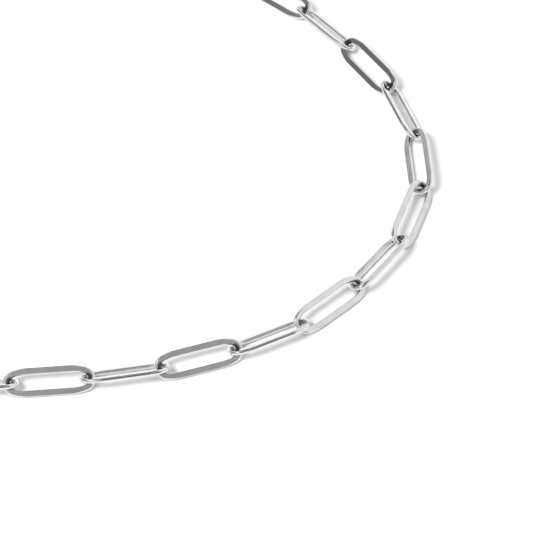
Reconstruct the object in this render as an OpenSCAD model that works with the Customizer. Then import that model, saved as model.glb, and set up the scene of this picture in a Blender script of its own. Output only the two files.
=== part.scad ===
/* [Link] */
// Length of a link over its ends
link_length = 13.8; // [11:0.1:18]
// Width of a link over its two bars
link_width = 4.4; // [4.3:0.1:5]
// Width of the pressed wire, in the link's plane
wire_width = 1.05; // [0.9:0.05:1.15]
// Thickness of the pressed wire
wire_thickness = 0.7; // [0.6:0.05:0.8]
// Width of the flat that the pressing leaves on the wire
wire_flat = 0.85; // [0.6:0.05:0.95]
// Radius of the gentle shoulder between a link's bar and its tip
shoulder_radius = 7.1; // [4:0.1:10]

/* [Chain] */
// Number of links
link_count = 39; // [15:2:39]
// Gap between two hooked wires
hook_gap = 0.4; // [0.38:0.02:0.5]
// Usual lean of a link, to one side and then the other, in degrees
lean = 36; // [34:1:42]
// How much the lean wanders from link to link, in degrees
lean_wander = 1; // [0:0.5:2]
// Width of the oval that the chain lies in, over its length
oval_ratio = 0.59; // [0.5:0.01:1]
// Place of the clasp round the oval, in degrees from its long axis
clasp_place = 164.5; // [0:0.5:359]

/* [Clasp] */
// Length of the clasp's hook over its ends
hook_length = 9; // [8:0.5:12]
// Width of the clasp's hook
hook_width = 5.6; // [5.2:0.1:6.4]
// Width of the hook's bar, in the clasp's plane
bar_width = 1.2; // [1:0.05:1.3]
// Thickness of the hook's bar
bar_thickness = 1.1; // [0.9:0.05:1.2]
// Width of the flat on the hook's bar
bar_flat = 0.6; // [0.5:0.05:0.8]
// Radius of the gentle shoulder between the hook's bar and its tip
hook_shoulder = 5; // [3:0.1:8]
// Radius of the middle line of the clasp's eye
eye_radius = 1.5; // [1.4:0.05:2]
// Thickness of the eye's round wire
eye_wire = 0.9; // [0.8:0.05:1]
// Gap between the clasp and the wire that it holds
clasp_gap = 0.36; // [0.3:0.02:0.6]
// Lean of the clasp, in degrees
clasp_lean = 28; // [27:1:34]

/* [Hidden] */
$fn = 48;

// How far a joint lies outside the plain oval: joint number (counted from the clasp), mm
JOINT_DRIFT = [
    [14, -0.1], [15, -0.1], [16, 0.1], [17, 0.15], [18, 0.3], [19, -0.4],
    [20, -0.2], [21, 0.25], [22, 0.05], [23, 0.05], [24, -0.3], [25, 0.1]
];
// Links that lean more or less than usual: link number, degrees
LEAN_DRIFT = [
    [15, -4], [16, 0.5], [17, -3], [18, -4], [19, -5], [20, -3],
    [21, -4.5], [22, -1.5], [23, 0.5], [24, 0.5], [25, -2]
];

// A loop's shoulder turns by the small angle of a 7-24-25 triangle, and its tip by the rest
SHOULDER_TURN = atan(7 / 24);
SHOULDER_SINE = 7 / 25;
SHOULDER_COSINE = 24 / 25;
// Loops are drawn this many times smaller and enlarged, so that their arcs meet closely
ENLARGING = 100;
// Turn of the lean's wander from one link to the next, in degrees
WANDER_TURN = 137;
// Rounds that place a joint on the oval, and that halve the range of the oval's size
PLACING_ROUNDS = 5;
HALVING_ROUNDS = 22;

pitch = link_length - 2 * wire_width - hook_gap;
eye_centre = hook_length / 2 - bar_width / 2 + eye_radius;
clasp_pitch = hook_length / 2 - bar_width + eye_centre + eye_radius - eye_wire / 2 - clasp_gap;
clasp_middle = (eye_centre + eye_radius - eye_wire / 2 - hook_length / 2 + bar_width) / 2;
chain_length = link_count * pitch + clasp_pitch;

function link_name(i) = str("link_", i < 10 ? "0" : "", i);
function either(found, usual) = is_undef(found) ? usual : found;
function looked_up(table, i) = [for (row = table) if (row[0] == i) row[1]][0];
function drift_of(k) = either(looked_up(JOINT_DRIFT, k), 0);
function lean_of(i) =
    let (drift = either(looked_up(LEAN_DRIFT, i), lean_wander * sin(WANDER_TURN * i)))
    i % 2 == 1 ? lean + drift : -lean - drift;

// Points of the oval and the chain's joints on it, as angles t from the long axis
function joint_point(half, t, drift) =
    let (outward = [oval_ratio * cos(t), sin(t)])
    half * [cos(t), oval_ratio * sin(t)] + drift * outward / norm(outward);
function degrees_per_mm(half, t) = 180 / PI / (half * norm([sin(t), oval_ratio * cos(t)]));
function stepped(half, from, t, drift, step, rounds = PLACING_ROUNDS) =
    rounds <= 0 ? t
    : let (error = step - norm(joint_point(half, t, drift) - from))
    stepped(half, from, t + error * degrees_per_mm(half, t), drift, step, rounds - 1);
function next_joint(half, t, k, step) =
    let (from = joint_point(half, t, drift_of(k)), guess = t + step * degrees_per_mm(half, t))
    stepped(half, from, guess, drift_of(k + 1 > link_count ? 0 : k + 1), step);
function joint_angles(half) = [
    for (
        k = 0, t = clasp_place + clasp_pitch / 2 * degrees_per_mm(half, clasp_place);
        k <= link_count;
        t = next_joint(half, t, k, pitch), k = k + 1
    ) t
];

// The oval's half length at which the clasp just closes the chain
function is_short(half) =
    let (angles = joint_angles(half))
    next_joint(half, angles[link_count], link_count, clasp_pitch) > angles[0] + 360;
function closing_half(low, high, rounds = HALVING_ROUNDS) =
    let (middle = (low + high) / 2)
    rounds <= 0 ? middle
    : is_short(middle) ? closing_half(middle, high, rounds - 1)
    : closing_half(low, middle, rounds - 1);
// It lies between that of a circle and that of a flat loop
oval_half = closing_half(chain_length / (2 * PI), chain_length / 4);
oval_angles = joint_angles(oval_half);
joints = [for (k = [0:link_count]) joint_point(oval_half, oval_angles[k], drift_of(k))];

// Radius of the arc that bulges the sides of a pressed wire
function bulge_radius(width, thickness, flat) =
    let (rise = (width - flat) / 2)
    (thickness * thickness / 4 + rise * rise) / (2 * rise);
// How far a pressed wire reaches at an angle from its width
function wire_reach(width, thickness, flat, angle) =
    let (bulge = bulge_radius(width, thickness, flat))
    angle < asin(thickness / 2 / bulge) ? (width / 2 - bulge) * cos(angle) + bulge
    : flat / 2 * cos(angle) + thickness / 2 * sin(angle);
// Height of a leaning loop's middle over the surface that its lower bar lies on
function rest_height(loop_width, width, thickness, flat, tilt) =
    (loop_width - width) / 2 * sin(abs(tilt)) + wire_reach(width, thickness, flat, 90 - abs(tilt));

// Section of a pressed wire: flat above and below, with bulging sides
module pressed_wire(width, thickness, flat) {
    bulge = bulge_radius(width, thickness, flat);
    intersection() {
        square([width * 2, thickness], center = true);
        translate([width / 2 - bulge, 0]) circle(bulge);
        translate([bulge - width / 2, 0]) circle(bulge);
    }
}

module wire_arc(radius, start, turn) {
    rotate_extrude(start = start, angle = turn) translate([radius, 0]) children();
}

// One quarter of a loop along X: half a bar, a shoulder and half a tip
module quarter_loop(half_length, half_width, shoulder) {
    tip = (half_width - (1 - SHOULDER_COSINE) * shoulder) / SHOULDER_COSINE;
    bar_end = half_length - tip - SHOULDER_SINE * (shoulder - tip);
    translate([half_length - tip, 0, 0])
        wire_arc(tip, 0, 90 - SHOULDER_TURN) children();
    translate([bar_end, half_width - shoulder, 0])
        wire_arc(shoulder, 90 - SHOULDER_TURN, SHOULDER_TURN) children();
    translate([0, half_width, 0])
        rotate([90, 0, 90]) linear_extrude(bar_end) children();
}

// A long loop of pressed wire, given by its outer length and width
module long_loop(length, loop_width, shoulder, width, thickness, flat) {
    scale(ENLARGING) for (mx = [0, 1], my = [0, 1]) mirror([mx, 0, 0]) mirror([0, my, 0])
        quarter_loop(
            (length - width) / 2 / ENLARGING, (loop_width - width) / 2 / ENLARGING,
            shoulder / ENLARGING
        )
        pressed_wire(width / ENLARGING, thickness / ENLARGING, flat / ENLARGING);
}

// Lays a loop with its middle between two joints, leaning about the line through them
module laid_between(from, to, height, tilt) {
    middle = (from + to) / 2;
    along = to - from;
    translate([middle.x, middle.y, height])
        rotate([tilt, 0, atan2(along.y, along.x)]) children();
}

module link(i) {
    height = rest_height(link_width, wire_width, wire_thickness, wire_flat, lean_of(i));
    color("silver") laid_between(joints[i - 1], joints[i], height, lean_of(i))
        long_loop(
            link_length, link_width, shoulder_radius, wire_width, wire_thickness, wire_flat
        );
}

// A closed hook with a small round eye at its end
module clasp() {
    height = rest_height(hook_width, bar_width, bar_thickness, bar_flat, clasp_lean);
    color("silver") laid_between(joints[link_count], joints[0], height, -clasp_lean)
        translate([clasp_middle, 0, 0]) {
            long_loop(
                hook_length, hook_width, hook_shoulder, bar_width, bar_thickness, bar_flat
            );
            translate([-eye_centre, 0, 0])
                rotate_extrude() translate([eye_radius, 0]) circle(d = eye_wire);
        }
}

for (i = [1:link_count]) link(i);
clasp();
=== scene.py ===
# %% [markdown]
# # A paperclip chain on a white table
#
# The chain is a loop of long oval links with one clasp. Every link is the same piece of
# pressed silver wire, so the lesson builds one link with care and lays it in 39 places.
# The solids of the chain already exist and are loaded first. They say where everything is.

# %% Load the solids
import math

import bpy
import numpy as np
from mathutils import Matrix, Quaternion, Vector


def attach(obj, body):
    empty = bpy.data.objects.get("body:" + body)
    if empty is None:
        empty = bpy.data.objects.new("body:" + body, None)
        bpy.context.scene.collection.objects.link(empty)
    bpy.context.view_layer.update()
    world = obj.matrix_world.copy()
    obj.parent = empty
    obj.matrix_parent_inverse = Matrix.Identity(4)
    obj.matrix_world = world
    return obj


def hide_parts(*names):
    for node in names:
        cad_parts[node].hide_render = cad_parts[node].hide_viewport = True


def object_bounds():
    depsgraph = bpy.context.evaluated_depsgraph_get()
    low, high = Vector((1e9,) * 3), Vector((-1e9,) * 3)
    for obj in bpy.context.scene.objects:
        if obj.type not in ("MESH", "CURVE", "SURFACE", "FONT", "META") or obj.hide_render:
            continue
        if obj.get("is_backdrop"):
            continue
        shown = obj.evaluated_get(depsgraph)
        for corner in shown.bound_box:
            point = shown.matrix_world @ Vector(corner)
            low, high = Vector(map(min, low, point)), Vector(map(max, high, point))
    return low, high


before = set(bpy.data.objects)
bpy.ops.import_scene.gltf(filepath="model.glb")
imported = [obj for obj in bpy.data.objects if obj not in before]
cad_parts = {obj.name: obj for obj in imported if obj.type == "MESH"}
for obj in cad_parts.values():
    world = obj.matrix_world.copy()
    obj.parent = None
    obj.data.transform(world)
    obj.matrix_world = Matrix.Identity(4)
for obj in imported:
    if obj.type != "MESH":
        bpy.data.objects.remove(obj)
bpy.context.view_layer.update()
solid_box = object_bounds()
MM = 0.001
print("solids:", len(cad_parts),
      "box in mm:", [[round(v / MM, 2) for v in corner] for corner in solid_box])

# %% [markdown]
# ## The camera
#
# The photo looks down on the table from a little more than half way up, through a long
# lens, so that far links look nearly as large as near ones. A long lens stands far off: at
# 139 mm it is 32 cm away from the middle of what it sees. The camera could also be placed
# by eye, but here its height and distance were worked out from how much the far links
# shrink against the near ones.

# %% Camera
view_centre = Vector((67.93, -18.29, 1.43)) * MM
view_height = math.radians(52.39)
view_along = Vector((-0.2070, 0.9783, 0)).normalized()
view_roll = math.radians(0.33)
view_distance = 319.04 * MM
lens_length = 138.91

camera = bpy.data.objects.new("camera", bpy.data.cameras.new("camera"))
bpy.context.scene.collection.objects.link(camera)
bpy.context.scene.camera = camera
camera.data.sensor_width = 36
camera.data.lens = lens_length
camera.data.clip_start, camera.data.clip_end = 0.01, 10
camera_ray = view_along * math.cos(view_height) - Vector((0, 0, math.sin(view_height)))
camera.location = view_centre - camera_ray * view_distance
level = camera_ray.to_track_quat("-Z", "Y")
camera.rotation_euler = (level @ Quaternion((0, 0, 1), view_roll)).to_euler()
print("camera in mm:", [round(v / MM, 1) for v in camera.location])

# %% [markdown]
# ## Where each link lies
#
# A link leans over on the table, and no two lean alike. Typing 39 places and angles would
# be long and could go wrong. A solid's own shape tells them instead: its balance point is
# the middle, and the directions in which it is longest, wider and thinnest are its length,
# its width and its face. These come from the volume inside its skin, cut into slim
# pyramids from the origin to each triangle.

# %% Measure the lie of a solid
def corners_of(solid):
    mesh = solid.data
    mesh.calc_loop_triangles()
    corners = np.array([v.co for v in mesh.vertices])
    return corners[np.array([t.vertices for t in mesh.loop_triangles])]


def lie_of(solid):
    """Middle and the three axes (length, width, face) of a solid, as a 4 x 4 matrix."""
    a, b, c = corners_of(solid).transpose(1, 0, 2)
    volume = np.einsum("ij,ij->i", a, np.cross(b, c)) / 6
    total = a + b + c
    middle = (volume[:, None] * total).sum(0) / 4 / volume.sum()
    spread = sum(np.einsum("i,ij,ik->jk", volume, p, p) for p in (a, b, c, total)) / 20
    spread = spread / volume.sum() - np.outer(middle, middle)
    thin, wide, long = np.linalg.eigh(spread)[1].T
    face = thin if thin[2] > 0 else -thin
    lie = np.eye(4)
    lie[:3, :4] = np.column_stack([long, np.cross(face, long), face, middle])
    return lie


def turned(lie, towards):
    """The same lie with its length axis pointing towards a place."""
    if np.dot(lie[:3, 0], towards - lie[:3, 3]) > 0:
        return lie
    return lie @ np.diag([-1, -1, 1, 1])


link_names = sorted(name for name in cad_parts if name.startswith("link_"))
lies = {name: lie_of(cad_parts[name]) for name in link_names + ["clasp"]}
ring = link_names + ["clasp"]
for name, following in zip(ring, ring[1:] + ring[:1]):
    lies[name] = turned(lies[name], lies[following][:3, 3])
leans = [math.degrees(math.acos(lies[name][2, 2])) for name in link_names]
print(f"{len(link_names)} links lean by {min(leans):.1f} to {max(leans):.1f} degrees")

# %% Measure the sizes of a solid
def laid_flat(name):
    """The corners of a solid as they are when its face lies level and its length along X."""
    corners = corners_of(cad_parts[name]).reshape(-1, 3)
    lie = lies[name]
    return (corners - lie[:3, 3]) @ lie[:3, :3]


def loop_sizes(corners):
    """Length, width, thickness and wire width of a loop that lies flat, round the origin."""
    length, width, thickness = np.ptp(corners, axis=0)
    by_the_middle = corners[abs(corners[:, 0]) < length / 4]
    return length, width, thickness, width / 2 - abs(by_the_middle[:, 1]).min()


link_length, link_width, wire_thickness, wire_width = loop_sizes(laid_flat(link_names[0]))
print(f"link {link_length / MM:.2f} x {link_width / MM:.2f} mm,",
      f"wire {wire_width / MM:.2f} x {wire_thickness / MM:.2f} mm")

# %% [markdown]
# ## The section of the wire
#
# The chain is made from round wire and then pressed between rollers, which leaves two flats
# and lets the sides bulge. Polishing wears the edges between them to a small round, and that
# round, which also gets painted shade, draws a thin line along each edge. A bevelled circle
# wouldn't give a flat that mirrors one even tone, so the section is worked out from its three
# parts: the flat, the round of the edge and the bulge of the side. A quarter of it is drawn
# and mirrored twice. Each row of its table holds a point, the direction in which the surface
# faces there, and how much painted shade the place gets, which only the round of the edge has.

# %% Tables that mirror
def mirrored(quarter):
    """A closed outline from its first quarter. Rows: x, y, facing x, facing y, mark."""
    half = np.concatenate([quarter, quarter[-2::-1] * (-1, 1, -1, 1, 1)])
    return np.concatenate([half, half[-2:0:-1] * (1, -1, 1, -1, 1)])


def arc_rows(centre, radius, start, end, steps, marks=(0, 0)):
    """Rows along an arc, with a mark that runs evenly from the first to the second."""
    turn = np.linspace(start, end, steps + 1)
    facing = np.column_stack([np.cos(turn), np.sin(turn)])
    return np.column_stack([centre + radius * facing, facing, np.linspace(*marks, steps + 1)])


def line_rows(start, end, facing, steps):
    """Rows along a straight line, without its first point."""
    points = np.linspace(start, end, steps + 1)[1:]
    return np.column_stack([points, np.tile([*facing, 0], (steps, 1))])


# %% Section of pressed wire
WIRE_FLAT = 0.85 * MM
EDGE_ROUND = 0.10 * MM
BULGE_STEPS, EDGE_STEPS, FLAT_STEPS = 12, 3, 2


def pressed_section(width, thickness, flat, edge=EDGE_ROUND):
    """Section of pressed wire, marked where painted shade darkens the rounds of its edges."""
    rise = (width - flat) / 2
    bulge = (thickness**2 / 4 + rise**2) / (2 * rise)
    bulge_across, edge_up = width / 2 - bulge, thickness / 2 - edge
    edge_across = bulge_across + math.sqrt((bulge - edge) ** 2 - edge_up**2)
    meeting = math.atan2(edge_up, edge_across - bulge_across)
    half_way = (meeting + math.pi / 2) / 2
    return mirrored(np.concatenate([
        arc_rows((bulge_across, 0), bulge, 0, meeting, BULGE_STEPS),
        # the mask of the painted edge shade rises over the round of the edge and falls again
        arc_rows((edge_across, edge_up), edge, meeting, half_way, EDGE_STEPS, (0, 1))[1:],
        arc_rows((edge_across, edge_up), edge, half_way, math.pi / 2, EDGE_STEPS, (1, 0))[1:],
        line_rows((edge_across, thickness / 2), (0, thickness / 2), (0, 1), FLAT_STEPS),
    ]))


link_section = pressed_section(wire_width, wire_thickness, WIRE_FLAT)
print("points round the wire:", len(link_section))

# %% [markdown]
# ## The path of the wire
#
# A paperclip link isn't a plain oval. Its two bars are straight, then a long gentle shoulder
# bends them in, and a tight round closes each end. Straight line, wide arc and tight arc
# touch without a kink, so a reflection runs along the bar and slips round the end in one
# sweep. Each point is marked by how hard the wire is bent there: not at all along the bars
# and fully at the very tip.

# %% Path of a long loop
SHOULDER_ROUND = 7.1 * MM
SHOULDER_TURN = math.atan(7 / 24)
BEND_LEFT = 0.7  # how bent the wire still is where the tip meets the shoulder
TIP_STEPS, SHOULDER_STEPS, BAR_STEPS = 18, 8, 5


def loop_path(length, width, shoulder):
    """Middle line of a long loop of wire, marked from 0 at its bars to 1 at its tips."""
    half_length, half_width = length / 2, width / 2
    tip = (half_width - (1 - math.cos(SHOULDER_TURN)) * shoulder) / math.cos(SHOULDER_TURN)
    bar_end = half_length - tip - math.sin(SHOULDER_TURN) * (shoulder - tip)
    bend = math.pi / 2 - SHOULDER_TURN
    return mirrored(np.concatenate([
        arc_rows((half_length - tip, 0), tip, 0, bend, TIP_STEPS, (1, BEND_LEFT)),
        arc_rows((bar_end, half_width - shoulder), shoulder, bend, math.pi / 2,
                 SHOULDER_STEPS, (BEND_LEFT, 0))[1:],
        line_rows((bar_end, half_width), (0, half_width), (0, 1), BAR_STEPS),
    ]))


link_path = loop_path(link_length - wire_width, link_width - wire_width, SHOULDER_ROUND)
print("points along a link:", len(link_path))

# %% [markdown]
# ## Sweeping the section along the path
#
# Blender can bevel a curve, but then it guesses the surface's directions from the small
# flat faces, and polished metal shows every guess as a ripple. Here the true direction of
# each point is known, so the mesh is made point by point and told those directions. It also
# keeps the lengths along and round the wire in mm, for marks that follow the wire.
#
# Bending the wire hard at the tips changes its section: the outer side stretches, so the flat
# gets narrow there and the edge soft, and the inner side is squeezed. So two sections are
# swept, one for the bars and one for the tips, and each point along the path says how far it
# has gone from the first to the second.

# %% Section at the tips
# width, flat and edge round, as shares of those along the bars
TIP_OUTSIDE = (0.95, 0.3, 1.5)
TIP_INSIDE = (0.98, 0.8, 1.0)


def tip_section(width, flat, edge):
    """Section of a link's wire as it would be if it were all like one side of a tip."""
    return pressed_section(
        width * wire_width, wire_thickness, flat * WIRE_FLAT, edge * EDGE_ROUND
    )


stretched, squeezed = tip_section(*TIP_OUTSIDE), tip_section(*TIP_INSIDE)
bent_section = np.where(link_section[:, :1] > 0, stretched, squeezed)
half_flats = [flat * WIRE_FLAT / 2 / MM for _, flat, _ in (TIP_OUTSIDE, TIP_INSIDE)]
print("outer and inner half of the flat at a tip, in mm:", [round(h, 2) for h in half_flats])

# %% Sweep
SHADE_AND_SEAM_REACH = 1.4  # over 1, so that the painted shade is full a little before the very tip


def gone(points):
    """Length gone along a closed line of points, from the first point back to it."""
    steps = np.linalg.norm(np.roll(points, -1, axis=0) - points, axis=1)
    return np.concatenate([[0], np.cumsum(steps)])


def swept(path, section, bent, shade_and_seam_share=0):
    """A section swept along a closed flat path, where it turns into the bent one at the marks.

    The last argument says how much painted darkening each point of the section gets beside a
    mark: painted shade in the joints of a link, a painted dark line on the seams of the clasp.
    """
    along, around = len(path), len(section)
    sections = section + path[:, None, 4:] * (bent - section)

    def placed(across, up):
        return np.dstack([path[:, None, 2:4] * sections[:, :, across, None], sections[:, :, up]])

    points, facings = placed(0, 1), placed(2, 3)
    points[:, :, :2] += path[:, None, :2]
    facings /= np.linalg.norm(facings, axis=2, keepdims=True)
    index = np.arange(along * around).reshape(along, around)
    beside = np.roll(index, -1, axis=1)
    lengths = np.meshgrid(gone(path[:, :2]), gone(section[:, :2]), indexing="ij")
    uv = np.dstack(lengths) / MM
    uv_corners = [uv[:-1, :-1], uv[1:, :-1], uv[1:, 1:], uv[:-1, 1:]]
    faces = np.dstack([index, np.roll(index, -1, 0), np.roll(beside, -1, 0), beside])
    at_the_mark = np.clip((path[:, 4:] - BEND_LEFT) / (1 - BEND_LEFT) * SHADE_AND_SEAM_REACH, 0, 1)
    return {
        "points": points.reshape(-1, 3),
        "facings": facings.reshape(-1, 3),
        "faces": faces.reshape(-1, 4),
        "wire": np.stack(uv_corners, axis=2).reshape(-1, 2),
        "edge_shade": np.tile(section[:, 4], along),
        # painted shade in the joints of the links; on the clasp, a painted dark line in the
        # seams
        "hooked": (at_the_mark * np.broadcast_to(shade_and_seam_share, around)).ravel(),
    }


# %% Mesh
def mesh_from(name, *parts):
    """One mesh of several swept parts, each shaded by its own facings."""
    whole = {key: np.concatenate([part[key] for part in parts]) for key in parts[0]}
    firsts = np.cumsum([0] + [len(part["points"]) for part in parts])
    faces = np.concatenate([part["faces"] + first for part, first in zip(parts, firsts)])
    mesh = bpy.data.meshes.new(name)
    mesh.from_pydata(whole["points"].tolist(), [], faces.tolist())
    mesh.uv_layers.new(name="wire").data.foreach_set("uv", whole["wire"].ravel())
    # masks of painted shade along the edges and in the joints, and of a painted dark line on the
    # clasp's seams
    for mark in ("edge_shade", "hooked"):
        mesh.attributes.new(mark, "FLOAT", "POINT").data.foreach_set("value", whole[mark])
    mesh.polygons.foreach_set("use_smooth", [True] * len(faces))
    mesh.normals_split_custom_set_from_vertices(whole["facings"].tolist())
    return mesh


def laid(name, mesh, lie, node):
    """A piece in the place of a solid, which it hides, fixed to the root body."""
    piece = bpy.data.objects.new(name, mesh)
    piece.matrix_world = Matrix(lie.tolist())
    bpy.context.scene.collection.objects.link(piece)
    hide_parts(node)
    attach(piece, "root")
    return piece


# %% Lay the links
JOINT_SHADE_IN_THE_MIDDLE = 0.5  # share of the painted joint shade half way from the inner to the outer side
JOINT_SHADE_LOST_OUTWARDS = 0.8  # how much of it goes from there to the outer side

outwards = link_section[:, 0] / link_section[:, 0].max()
# painted shade in the joints: full on the inner side of a tip, none on its outer side
shade_and_seam_share = np.clip(JOINT_SHADE_IN_THE_MIDDLE - JOINT_SHADE_LOST_OUTWARDS * outwards, 0, 1)
link_mesh = mesh_from("link", swept(link_path, link_section, bent_section, shade_and_seam_share))
print("faces of a link:", len(link_mesh.polygons))

links = [laid(f"silver_{name}", link_mesh, lies[name], name)
         for name in link_names]
print("links laid:", len(links))

# %% [markdown]
# ## The clasp
#
# The photo doesn't show how the chain closes. A hook of thicker wire with a small eye is the
# plainest way: the eye holds the last link for good, and the hook takes the first one. It is
# swept the same way as a link, out of a long loop for the hook and a round one for the eye.
# Its balance point lies between the two, so the loops are placed by the ends of the solid.

# %% Sizes of the clasp
clasp_corners = laid_flat("clasp")
hook_tip, eye_tip = clasp_corners[:, 0].max(), clasp_corners[:, 0].min()
hook_width, bar_thickness = np.ptp(clasp_corners, axis=0)[1:]
HOOK_LENGTH = 9 * MM
BAR_WIDTH = 1.2 * MM
BAR_FLAT = 0.6 * MM
BAR_EDGE = 1.5 * EDGE_ROUND
HOOK_SHOULDER = 5 * MM
EYE_ROUND = 1.5 * MM
EYE_WIRE = 0.9 * MM
hook_middle = hook_tip - HOOK_LENGTH / 2
hook_heel = hook_tip - HOOK_LENGTH
eye_middle = eye_tip + EYE_ROUND + EYE_WIRE / 2
print(f"hook {hook_width / MM:.2f} mm wide and {bar_thickness / MM:.2f} mm thick,",
      f"its middle {(hook_middle - eye_middle) / MM:.2f} mm from the eye's")

# %% [markdown]
# A real clasp isn't cast in one go. One bar of the hook is a gate, and two fine seams show
# where it ends. They are grooves: at a seam the section shrinks a little over a few
# hundredths of a mm, and a dark line is painted along it. The path's points lie too far apart
# for that, so each seam gets two more, one close on either side. Cutting the seams out with a
# boolean would give ragged shading.

# %% Seams in the bar of the hook
SEAM_HALF = 0.06 * MM
SEAM_DEPTH = 0.08  # share of the bar's size
GATE_ENDS = (40, 22)  # points of the path, the later one first


def with_seam(path, at):
    """The path with a narrow groove at one of its points."""
    def close_to(other):
        apart = np.linalg.norm(path[other, :2] - path[at, :2])
        return path[at] + (path[other] - path[at]) * SEAM_HALF / apart

    groove = [close_to(at - 1), path[at] + (0, 0, 0, 0, 1), close_to(at + 1)]
    return np.concatenate([path[:at], groove, path[at + 1:]])


# %% Paths and sections of the clasp
EYE_STEPS, EYE_WIRE_STEPS = 56, 20


def round_path(centre, radius, steps):
    """A full circle, without marks."""
    return arc_rows(centre, radius, 0, 2 * math.pi, steps)[:-1]


hook_path = loop_path(HOOK_LENGTH - BAR_WIDTH, hook_width - BAR_WIDTH, HOOK_SHOULDER)
hook_path[:, 4] = 0
gate_length = abs(np.diff(hook_path[GATE_ENDS, 0])[0])
for gate_end in GATE_ENDS:
    hook_path = with_seam(hook_path, gate_end)
hook_path[:, 0] += hook_middle
bar_section = pressed_section(BAR_WIDTH, bar_thickness, BAR_FLAT, BAR_EDGE)
groove_section = bar_section * (1 - SEAM_DEPTH, 1 - SEAM_DEPTH, 1, 1, 1)
eye_path = round_path((eye_middle, 0), EYE_ROUND, EYE_STEPS)
eye_section = round_path((0, 0), EYE_WIRE / 2, EYE_WIRE_STEPS)
print(f"gate {gate_length / MM:.1f} mm long")

# %% [markdown]
# The gate turns on a pin at the heel of the hook. It is a tube pressed flat at both ends,
# so its face is a small ring that stands a little proud of the bar: the same sweep once
# more, with a tall narrow section on a tiny round path. A bead of solder joins the eye to
# the heel. It is a fat ring too, stood on its side so that the clasp's length runs through it.

# %% Pin and bead of solder
PIN_ROUND = 0.25 * MM
PIN_WALL = 0.34 * MM
PIN_PROUD = 0.07 * MM
BEAD_ROUND = 0.3 * MM
BEAD_WIRE = 0.5 * MM
RING_STEPS, BEAD_WIRE_STEPS = 24, 16


def stood_up(part, along):
    """A swept part turned so that its round runs about the clasp's length."""
    turn = np.array([[0, 0, 1], [0, 1, 0], [-1, 0, 0]])
    points = part["points"] @ turn.T + (along, 0, 0)
    return {**part, "points": points, "facings": part["facings"] @ turn.T}


pin_path = round_path((hook_heel + BAR_WIDTH / 2, 0), PIN_ROUND, RING_STEPS)
pin_height = bar_thickness + 2 * PIN_PROUD
pin_section = pressed_section(PIN_WALL, pin_height, PIN_WALL / 2, PIN_WALL / 8)
bead_section = round_path((0, 0), BEAD_WIRE / 2, BEAD_WIRE_STEPS)
bead = swept(round_path((0, 0), BEAD_ROUND, RING_STEPS), bead_section, bead_section)
bead_place = (hook_heel + eye_middle + EYE_ROUND + EYE_WIRE / 2) / 2
print(f"pin {(2 * PIN_ROUND + PIN_WALL) / MM:.2f} mm across,",
      f"bead {(2 * BEAD_ROUND + BEAD_WIRE) / MM:.2f} mm")

# %% Put the clasp together
clasp_mesh = mesh_from(
    "clasp",
    # the seams get the full painted dark line
    swept(hook_path, bar_section, groove_section, 1),
    swept(eye_path, eye_section, eye_section),
    swept(pin_path, pin_section, pin_section),
    stood_up(bead, bead_place),
)
clasp = laid("silver_clasp", clasp_mesh, lies["clasp"], "clasp")
print("faces of the clasp:", len(clasp_mesh.polygons))

# %% [markdown]
# ## Silver
#
# Polished silver has hardly any colour of its own. It is a mirror that gives back about four
# fifths of the light, and what makes it look like metal and not like grey paint is what it
# mirrors: pale walls, dark gaps between them, the white table and the next link. The marks
# on it are small. Rolling leaves a very slight waviness, polishing leaves hairlines along
# the wire, and fingers leave a faint haze. The inner side of each tip gets painted shade, a
# dark tone that stands in for the shade where the links hook into each other; the same node
# group paints a dark line along the clasp's seams. Each of the four is a node group, so that
# the links and the clasp can use it in different amounts. They could be painted as pictures,
# but a noise that follows the wire works at any distance and needs no file. The rounds of the
# edges get painted shade as well, a darker tone that draws a thin dark line along them. It
# needs no noise, as the mesh marks where it goes.

# %% Helpers for node groups
def new_group(name, inputs, outputs):
    """A shader node group with number or vector inputs (name: default) and its two ends."""
    group = bpy.data.node_groups.new(name, "ShaderNodeTree")
    for label, default in inputs.items():
        kind = "NodeSocketVector" if default is None else "NodeSocketFloat"
        socket = group.interface.new_socket(label, in_out="INPUT", socket_type=kind)
        if default is not None:
            socket.default_value = default
    for label in outputs:
        group.interface.new_socket(label, in_out="OUTPUT", socket_type="NodeSocketFloat")
    return group, group.nodes.new("NodeGroupInput"), group.nodes.new("NodeGroupOutput")


def add(tree, kind, label="", **settings):
    """A node with its settings; a setting called in_Name gives an input its value."""
    node = tree.nodes.new(kind)
    node.label = label
    for key, value in settings.items():
        if key.startswith("in_"):
            node.inputs[key[3:].replace("_", " ")].default_value = value
        else:
            setattr(node, key, value)
    return node


def wire(tree, *pairs):
    """Links of a node tree, each from an output to an input."""
    for source, target in pairs:
        tree.links.new(source, target)


# %% Noise that follows the wire
def noise_along_wire(name, outputs, per_mm, detail, stretched_by, moved_by):
    """A group with a noise on the wire, which the place moves so that no two links match."""
    group, group_in, group_out = new_group(
        name, {"Wire": None, "Place": None, "Per mm": per_mm}, outputs
    )
    noise = add(group, "ShaderNodeTexNoise", noise_dimensions="4D", in_Detail=detail)
    stretch = add(group, "ShaderNodeVectorMath", operation="MULTIPLY")
    stretch.inputs[1].default_value = stretched_by
    move = add(group, "ShaderNodeVectorMath", operation="DOT_PRODUCT")
    move.inputs[1].default_value = moved_by
    wire(
        group,
        (group_in.outputs["Wire"], stretch.inputs[0]),
        (stretch.outputs[0], noise.inputs["Vector"]),
        (group_in.outputs["Place"], move.inputs[0]),
        (move.outputs["Value"], noise.inputs["W"]),
        (group_in.outputs["Per mm"], noise.inputs["Scale"]),
        (noise.outputs["Fac"], group_out.inputs["Height"]),
    )
    return group, noise, group_out


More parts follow.
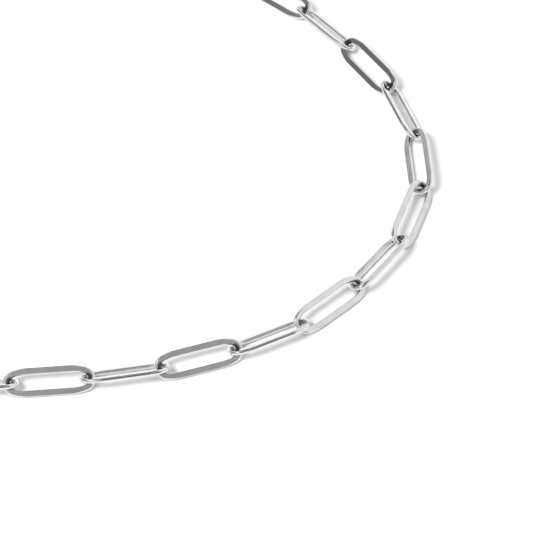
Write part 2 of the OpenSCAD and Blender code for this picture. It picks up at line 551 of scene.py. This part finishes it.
# %% Rolling waves and polishing hairlines
waves_group, _, _ = noise_along_wire(
    "rolling_waves", ["Height"], per_mm=0.3, detail=1.5,
    stretched_by=(1, 2.2, 0), moved_by=(130, 90, 0),
)
lines_group, lines, lines_out = noise_along_wire(
    "hairlines", ["Height", "Lines"], per_mm=9.0, detail=2.0,
    stretched_by=(0.03, 1, 0), moved_by=(40, 60, 0),
)
fine = add(lines_group, "ShaderNodeMapRange", "only the strongest lines",
           interpolation_type="SMOOTHSTEP", in_From_Min=0.5, in_From_Max=0.72)
wire(
    lines_group,
    (lines.outputs["Fac"], fine.inputs["Value"]), (fine.outputs[0], lines_out.inputs["Lines"]),
)

# %% Noise in patches
def noise_in_patches(group, group_in, **settings):
    """A noise by place in a group that has the inputs Place and Patch mm."""
    noise = add(group, "ShaderNodeTexNoise", **settings)
    per_metre = add(group, "ShaderNodeMath", operation="DIVIDE")
    per_metre.inputs[0].default_value = 1 / MM
    wire(
        group,
        (group_in.outputs["Place"], noise.inputs["Vector"]),
        (group_in.outputs["Patch mm"], per_metre.inputs[1]),
        (per_metre.outputs[0], noise.inputs["Scale"]),
    )
    return noise.outputs["Fac"]


# %% Haze from handling
haze_group, haze_in, haze_out = new_group(
    "handling_haze", {"Place": None, "Patch mm": 2.5}, ["Haze"]
)
haze_noise = noise_in_patches(haze_group, haze_in, in_Detail=3.0, in_Roughness=0.6)
soften = add(haze_group, "ShaderNodeMapRange", "bare between the patches",
             interpolation_type="SMOOTHSTEP", in_From_Min=0.42, in_From_Max=0.72)
wire(
    haze_group,
    (haze_noise, soften.inputs["Value"]), (soften.outputs[0], haze_out.inputs["Haze"]),
)

# %% Painted shade in the joints and a dark line on the seams
shade_seam_group, shade_seam_in, shade_seam_out = new_group(
    "joint_shade_seam", {"Place": None, "Shade seam mask": 0.0, "Patch mm": 0.5}, ["Tarnish"]
)
patches = noise_in_patches(shade_seam_group, shade_seam_in, in_Detail=2.0)
uneven = add(shade_seam_group, "ShaderNodeMath", "about 1 on average", operation="ADD")
uneven.inputs[1].default_value = 0.5
in_shelter = add(shade_seam_group, "ShaderNodeMath", operation="MULTIPLY")
darkened = add(shade_seam_group, "ShaderNodeMapRange", "with a soft border",
               interpolation_type="SMOOTHSTEP", in_From_Min=0.25, in_From_Max=0.65)
wire(
    shade_seam_group,
    (patches, uneven.inputs[0]), (uneven.outputs[0], in_shelter.inputs[0]),
    (shade_seam_in.outputs["Shade seam mask"], in_shelter.inputs[1]),
    (in_shelter.outputs[0], darkened.inputs["Value"]),
    (darkened.outputs[0], shade_seam_out.inputs["Tarnish"]),
)
silver_groups = (waves_group, lines_group, haze_group, shade_seam_group)
print("node groups:", [group.name for group in silver_groups])

# %% Silver material
LINE_TINT = (0.70, 0.70, 0.70)
# tone of the painted shade along the rounded edges
EDGE_SHADE_TINT = (0.60, 0.60, 0.60)
# tone of the painted shade in the joints and of the painted dark line on the clasp's seams
SHADE_SEAM_TINT = (0.16, 0.16, 0.16)


def silver(name, *, bright, dull, smooth, hazy, wave_depth, line_depth):
    """Polished silver. bright and dull are its tone, smooth and hazy its roughness."""
    material = bpy.data.materials.new(name)
    material.use_nodes = True
    tree = material.node_tree
    shader = tree.nodes["Principled BSDF"]
    shader.inputs["Metallic"].default_value = 1.0
    along = add(tree, "ShaderNodeUVMap", uv_map="wire")
    place = add(tree, "ShaderNodeNewGeometry")
    groups = {}
    for group in (waves_group, lines_group, haze_group):
        node = groups[group.name] = add(tree, "ShaderNodeGroup", node_tree=group)
        wire(tree, (place.outputs["Position"], node.inputs["Place"]))
        if "Wire" in node.inputs:
            wire(tree, (along.outputs["UV"], node.inputs["Wire"]))
    haze = groups["handling_haze"].outputs["Haze"]

    # painted shade in the joints and a painted dark line on the clasp's seams
    hooked = add(tree, "ShaderNodeAttribute", attribute_name="hooked")
    shade_seam = add(tree, "ShaderNodeGroup", node_tree=shade_seam_group)
    # mask of the painted shade along the rounded edges
    edge_shade = add(tree, "ShaderNodeAttribute", attribute_name="edge_shade")
    wire(tree, (place.outputs["Position"], shade_seam.inputs["Place"]),
         (hooked.outputs["Fac"], shade_seam.inputs["Shade seam mask"]))
    colour = None
    layers = (
        (haze, dull), (groups["hairlines"].outputs["Lines"], LINE_TINT),
        (edge_shade.outputs["Fac"], EDGE_SHADE_TINT), (shade_seam.outputs["Tarnish"], SHADE_SEAM_TINT),
    )
    for mask, tint in layers:
        coat = add(tree, "ShaderNodeMix", data_type="RGBA")
        coat.inputs["A"].default_value = (*bright, 1)
        coat.inputs["B"].default_value = (*tint, 1)
        wire(tree, (mask, coat.inputs["Factor"]))
        if colour:
            wire(tree, (colour, coat.inputs["A"]))
        colour = coat.outputs["Result"]
    matt = add(tree, "ShaderNodeMapRange", in_To_Min=smooth, in_To_Max=hazy)
    wire(
        tree,
        (colour, shader.inputs["Base Color"]),
        (haze, matt.inputs["Value"]), (matt.outputs[0], shader.inputs["Roughness"]),
    )
    normal = None
    for group, depth in (("rolling_waves", wave_depth), ("hairlines", line_depth)):
        bump = add(tree, "ShaderNodeBump", in_Distance=depth)
        wire(tree, (groups[group].outputs["Height"], bump.inputs["Height"]))
        if normal:
            wire(tree, (normal, bump.inputs["Normal"]))
        normal = bump.outputs["Normal"]
    wire(tree, (normal, shader.inputs["Normal"]))
    return material


chain_silver = silver(
    "polished_silver", bright=(0.80, 0.80, 0.80), dull=(0.72, 0.72, 0.725),
    smooth=0.05, hazy=0.13, wave_depth=0.02 * MM, line_depth=0.0004 * MM,
)
clasp_silver = silver(
    "clasp_silver", bright=(0.80, 0.80, 0.80), dull=(0.70, 0.70, 0.705),
    smooth=0.06, hazy=0.16, wave_depth=0.01 * MM, line_depth=0.0006 * MM,
)
link_mesh.materials.append(chain_silver)
clasp.data.materials.append(clasp_silver)

# %% [markdown]
# ## The table
#
# The photo's table is so bright that only the shadows show where it is. A large sheet of
# matt card does that: a glossy one would mirror the chain. Its fine fibres are one noise that
# moves its tone by one part in fifty and its height by a few thousandths of a mm.

# %% Table
SHEET = 1.5
FIBRE = 0.4 * MM
FIBRE_HEIGHT = 0.004 * MM
PAPER_TONES = {"A": 0.92, "B": 0.94}

table = bpy.data.objects.new("table", bpy.data.meshes.new("table"))
corners = [(-SHEET, -SHEET, 0), (SHEET, -SHEET, 0), (SHEET, SHEET, 0), (-SHEET, SHEET, 0)]
table.data.from_pydata(corners, [], [(0, 1, 2, 3)])
bpy.context.scene.collection.objects.link(table)
table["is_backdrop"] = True
paper = bpy.data.materials.new("white_sheet")
paper.use_nodes = True
paper_shader = paper.node_tree.nodes["Principled BSDF"]
fibres = add(paper.node_tree, "ShaderNodeTexNoise", in_Scale=1 / FIBRE, in_Detail=3.0)
tones = add(paper.node_tree, "ShaderNodeMix", data_type="RGBA")
for end, tone in PAPER_TONES.items():
    tones.inputs[end].default_value = (tone, tone, tone, 1)
press = add(paper.node_tree, "ShaderNodeBump", in_Distance=FIBRE_HEIGHT)
spot = add(paper.node_tree, "ShaderNodeNewGeometry")
wire(
    paper.node_tree,
    (spot.outputs["Position"], fibres.inputs["Vector"]),
    (fibres.outputs["Fac"], tones.inputs["Factor"]),
    (tones.outputs["Result"], paper_shader.inputs["Base Color"]),
    (fibres.outputs["Fac"], press.inputs["Height"]),
    (press.outputs["Normal"], paper_shader.inputs["Normal"]),
)
paper_shader.inputs["Roughness"].default_value = 0.9
paper_shader.inputs["Specular IOR Level"].default_value = 0.1
table.data.materials.append(paper)
print(f"table {2 * SHEET} m wide, with fibres of {FIBRE / MM:.1f} mm")

# %% [markdown]
# ## The room that the silver mirrors
#
# A mirror shows its room, so the room is where the picture is made. Each link's face mirrors
# one small part of it, and which part follows from how the link lies: that is why one link
# is nearly white and the next one is dark grey. Panels and flags on stands could be built
# round the table, but they would be slow to move about. Here the room is painted on the
# world's sky as soft round zones, each with a direction, a size and a tone. A zone is one
# node group, and the zones lie over one another like sheets of tracing paper.

# %% Room
world = bpy.data.worlds.new("studio")
bpy.context.scene.world = world
world.use_nodes = True
room = world.node_tree
room.nodes.clear()

zone_group, zone_in, zone_out = new_group(
    "zone",
    {"Direction": None, "Towards": None, "Tallness": 1.0, "Inner": 0.0, "Outer": 1.0},
    ["Mask"],
)
apart = add(zone_group, "ShaderNodeVectorMath", operation="SUBTRACT")
flatten = add(zone_group, "ShaderNodeCombineXYZ", in_X=1.0, in_Y=1.0)
shorter = add(zone_group, "ShaderNodeMath", operation="DIVIDE")
shorter.inputs[0].default_value = 1.0
squashed = add(zone_group, "ShaderNodeVectorMath", operation="MULTIPLY")
far = add(zone_group, "ShaderNodeVectorMath", operation="LENGTH")
fade = add(zone_group, "ShaderNodeMapRange", interpolation_type="SMOOTHSTEP",
           in_To_Min=1.0, in_To_Max=0.0)
wire(
    zone_group,
    (zone_in.outputs["Direction"], apart.inputs[0]),
    (zone_in.outputs["Towards"], apart.inputs[1]),
    (zone_in.outputs["Tallness"], shorter.inputs[1]), (shorter.outputs[0], flatten.inputs["Z"]),
    (apart.outputs[0], squashed.inputs[0]), (flatten.outputs[0], squashed.inputs[1]),
    (squashed.outputs[0], far.inputs[0]), (far.outputs["Value"], fade.inputs["Value"]),
    (zone_in.outputs["Inner"], fade.inputs["From Min"]),
    (zone_in.outputs["Outer"], fade.inputs["From Max"]),
    (fade.outputs[0], zone_out.inputs["Mask"]),
)


def direction(azimuth, elevation):
    """The direction to a place in the room, from degrees round from +X and up from level."""
    a, e = math.radians(azimuth), math.radians(elevation)
    return Vector((math.cos(e) * math.cos(a), math.cos(e) * math.sin(a), math.sin(e)))


# %% [markdown]
# A face turns the camera's ray over, and that says which way it looks. So each zone was placed
# by working out where the faces look and judging from the photo how light it is there.
#
# The wall's own tone is light. The wide zones tint the faces: grey on the camera's side and
# dark on the left for the links at the top of the picture. The small black ones are the gaps
# that draw crisp dark streaks along the sides of the wire and a thin dark line round the
# tips. The two that are brighter than white are a window behind the chain and the hot middle
# of the lamp.

# %% Zones of the room
WALL = 0.83
WIDE_ZONES = [  # azimuth and elevation, tallness, inner and outer size, tone
    ((-2, 74), 1.0, 0.15, 0.49, 0.40),
    ((-58, 48), 2.6, 0.21, 0.52, 0.33),
    ((168, 26), 1.5, 0.18, 0.39, 0.26),
    ((-159, 35), 1.0, 0.26, 0.33, 0.18),
    ((28, 40), 1.4, 0.33, 0.63, 0.90),
    ((-43, 7), 2.4, 0.08, 0.25, 0.18),
    ((-35, 55), 1.0, 0.05, 0.20, 0.43),
    ((-131, 13), 1.2, 0.43, 0.70, 0.62),
    ((82, 9), 0.5, 0.07, 0.18, 0.50),
]
GAPS = [  # the same columns
    ((-65, 32), 1.3, 0.06, 0.22, 0.02),
    ((-37, 28), 1.6, 0.03, 0.18, 0.06),
    ((118, 74), 1.0, 0.27, 0.40, 0.02),
    ((165, 20), 1.6, 0.03, 0.20, 0.04),
]
LIGHTS = [  # the same columns, with tones over 1
    ((85, 34), 1.2, 0.18, 0.38, 1.35),
    ((-142, 66), 1.0, 0.10, 0.20, 2.40),
]
sky = add(room, "ShaderNodeTexCoord")
tone_so_far = add(room, "ShaderNodeValue").outputs[0]
tone_so_far.default_value = WALL
for towards, tallness, inner, outer, tone in WIDE_ZONES + GAPS + LIGHTS:
    zone = add(room, "ShaderNodeGroup", node_tree=zone_group,
               in_Tallness=tallness, in_Inner=inner, in_Outer=outer)
    zone.inputs["Towards"].default_value = direction(*towards)
    mix = add(room, "ShaderNodeMix", in_B=tone)
    wire(room, (sky.outputs["Generated"], zone.inputs["Direction"]),
         (zone.outputs["Mask"], mix.inputs["Factor"]), (tone_so_far, mix.inputs["A"]))
    tone_so_far = mix.outputs["Result"]
ray = add(room, "ShaderNodeLightPath")
plain = add(room, "ShaderNodeMix", in_B=1.0)
background, output = add(room, "ShaderNodeBackground"), add(room, "ShaderNodeOutputWorld")
wire(
    room,
    (ray.outputs["Is Camera Ray"], plain.inputs["Factor"]), (tone_so_far, plain.inputs["A"]),
    (plain.outputs["Result"], background.inputs["Color"]),
    (background.outputs[0], output.inputs["Surface"]),
)
print("zones:", len(WIDE_ZONES + GAPS + LIGHTS))

# %% [markdown]
# ## The lamp
#
# The shadows are soft and fall to the right and away from the camera, so one broad disc
# stands in front of the chain on the left, well above the table. A larger or nearer one
# would melt the shadows away, and a smaller one would give them hard edges. Mirrored whole,
# so broad a lamp would turn the tips of the links into white blots, so the silver doesn't
# see it: the small bright zone of the room in its place gives the glints.

# %% Lamp
LAMP_SIZE = 0.42
LAMP_POWER = 6.4
LAMP_AWAY = 0.9
lamp_from = direction(-135, 55)

lamp = bpy.data.objects.new("lamp", bpy.data.lights.new("lamp", "AREA"))
bpy.context.scene.collection.objects.link(lamp)
lamp.data.shape = "DISK"
lamp.data.size = LAMP_SIZE
lamp.data.energy = LAMP_POWER
lamp.visible_glossy = False
lamp.location = view_centre + lamp_from * LAMP_AWAY
lamp.rotation_euler = (-lamp_from).to_track_quat("-Z", "Y").to_euler()
print("lamp in m:", [round(v, 2) for v in lamp.location])

bpy.context.scene.view_settings.view_transform = "Standard"

# %% [markdown]
# ## The sizes at the end
#
# The look may not stray from the solids that it dresses. Both boxes are measured the same way
# and printed, so a sweep that went wrong shows as a box that is too large. The second box is
# a little larger anyway, as it is drawn round the boxes of links that lean.

# %% Print the sizes
bpy.context.view_layer.update()
look_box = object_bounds()
for what, box in (("solids", solid_box), ("look", look_box)):
    print(what, "in mm:", [[round(v / MM, 2) for v in corner] for corner in box])
